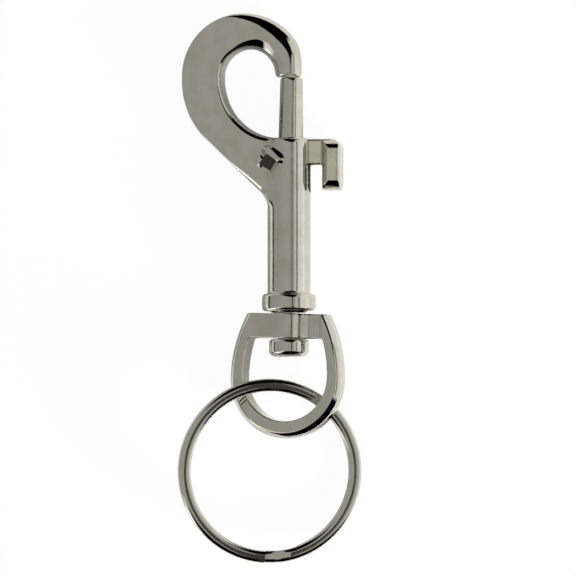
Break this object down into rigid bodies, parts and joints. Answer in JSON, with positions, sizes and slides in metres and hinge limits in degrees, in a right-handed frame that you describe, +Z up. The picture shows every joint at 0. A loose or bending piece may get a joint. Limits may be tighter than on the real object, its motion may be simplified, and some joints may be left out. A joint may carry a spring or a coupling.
{
  "type": "belt snap",
  "caption": "Nickel-plated swivel bolt snap: a hook shut by a sprung sliding bolt with a thumb lever, a D-shaped swivel eye and a split key ring.",
  "frame": {"origin": "middle of the bounding box in plan, on the floor that the snap lies on", "axes": "+Y from the key ring to the hook, +X towards the thumb lever, +Z up from the floor"},
  "size_m": [0.0308, 0.0955, 0.0114],
  "materials": {
    "nickel_casting": "bright nickel plate over a die-cast body, slightly soft reflections",
    "nickel_wire": "bright nickel plate over hard steel wire",
    "spring_steel": "plain drawn spring wire"
  },
  "bodies": {
    "snap": {"snap_body": "nickel_casting", "swivel_stud": "nickel_casting", "bolt_spring": "spring_steel"},
    "bolt": {"bolt": "nickel_casting"},
    "eye": {"swivel_eye": "nickel_casting"},
    "ring": {"split_ring": "nickel_wire"}
  },
  "joints": [
    {"name": "bolt_slide", "type": "slide", "parent": "snap", "child": "bolt", "axis": [0, -0.9994, 0.0353], "range_m": [0, 0.0043], "stiffness_N_per_m": 400, "springref_m": -0.008, "deforming": ["bolt_spring"]},
    {"name": "eye_swivel", "type": "hinge", "parent": "snap", "child": "eye", "pos_m": [0.00343, -0.00654, 0.00487], "axis": [0, 0.9994, -0.0353], "continuous": true},
    {"name": "ring_swing", "type": "hinge", "parent": "eye", "child": "ring", "pos_m": [0.00343, -0.02053, 0.00536], "axis": [0, 0.9994, -0.0353], "range_deg": [0, 115]}
  ]
}
